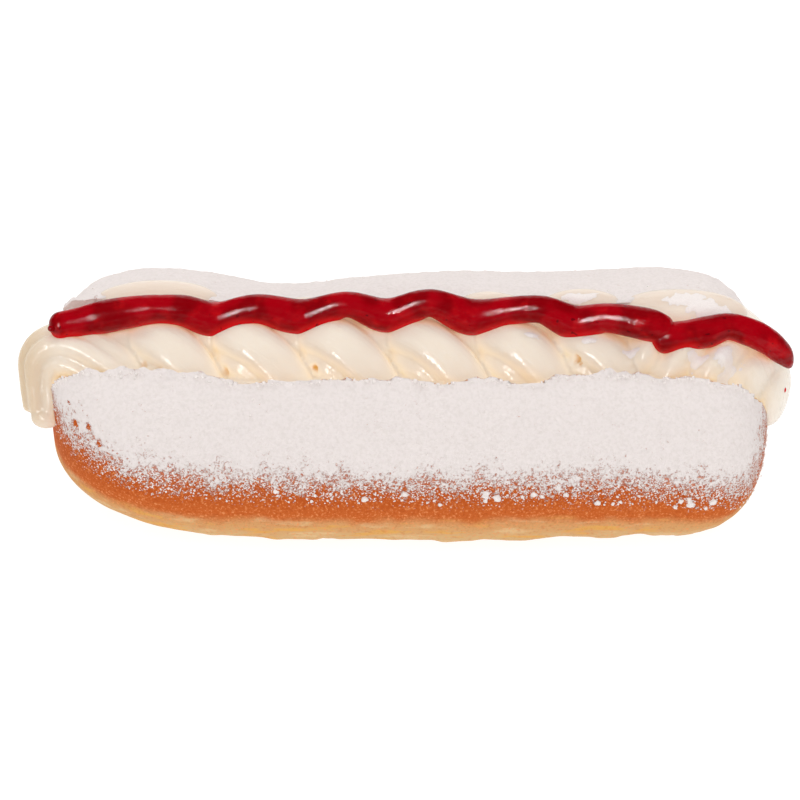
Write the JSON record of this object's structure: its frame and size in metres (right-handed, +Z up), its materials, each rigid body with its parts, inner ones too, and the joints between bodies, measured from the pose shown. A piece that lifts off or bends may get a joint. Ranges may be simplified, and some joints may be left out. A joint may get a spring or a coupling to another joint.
{
  "type": "cream finger bun",
  "caption": "Soft finger bun cut open along its top, filled with piped vanilla cream that loops out of the cut, with a wavy line of red jam along the cream and icing sugar on the crust.",
  "frame": {"origin": "centre of the part's footprint on the flat underside of the bun", "axes": "+X along the bun, to the end where the jam hangs over, +Y to the back half of the opened bun, +Z up"},
  "size_m": [0.179, 0.072, 0.0513],
  "materials": {
    "crust": "baked golden brown crust, dusted white with icing sugar above the sides",
    "cream": "soft satin piped cream",
    "jam": "wet glossy red jam"
  },
  "bodies": {
    "root": {"bun": "crust", "cream": "cream", "jam": "jam"}
  },
  "joints": []
}
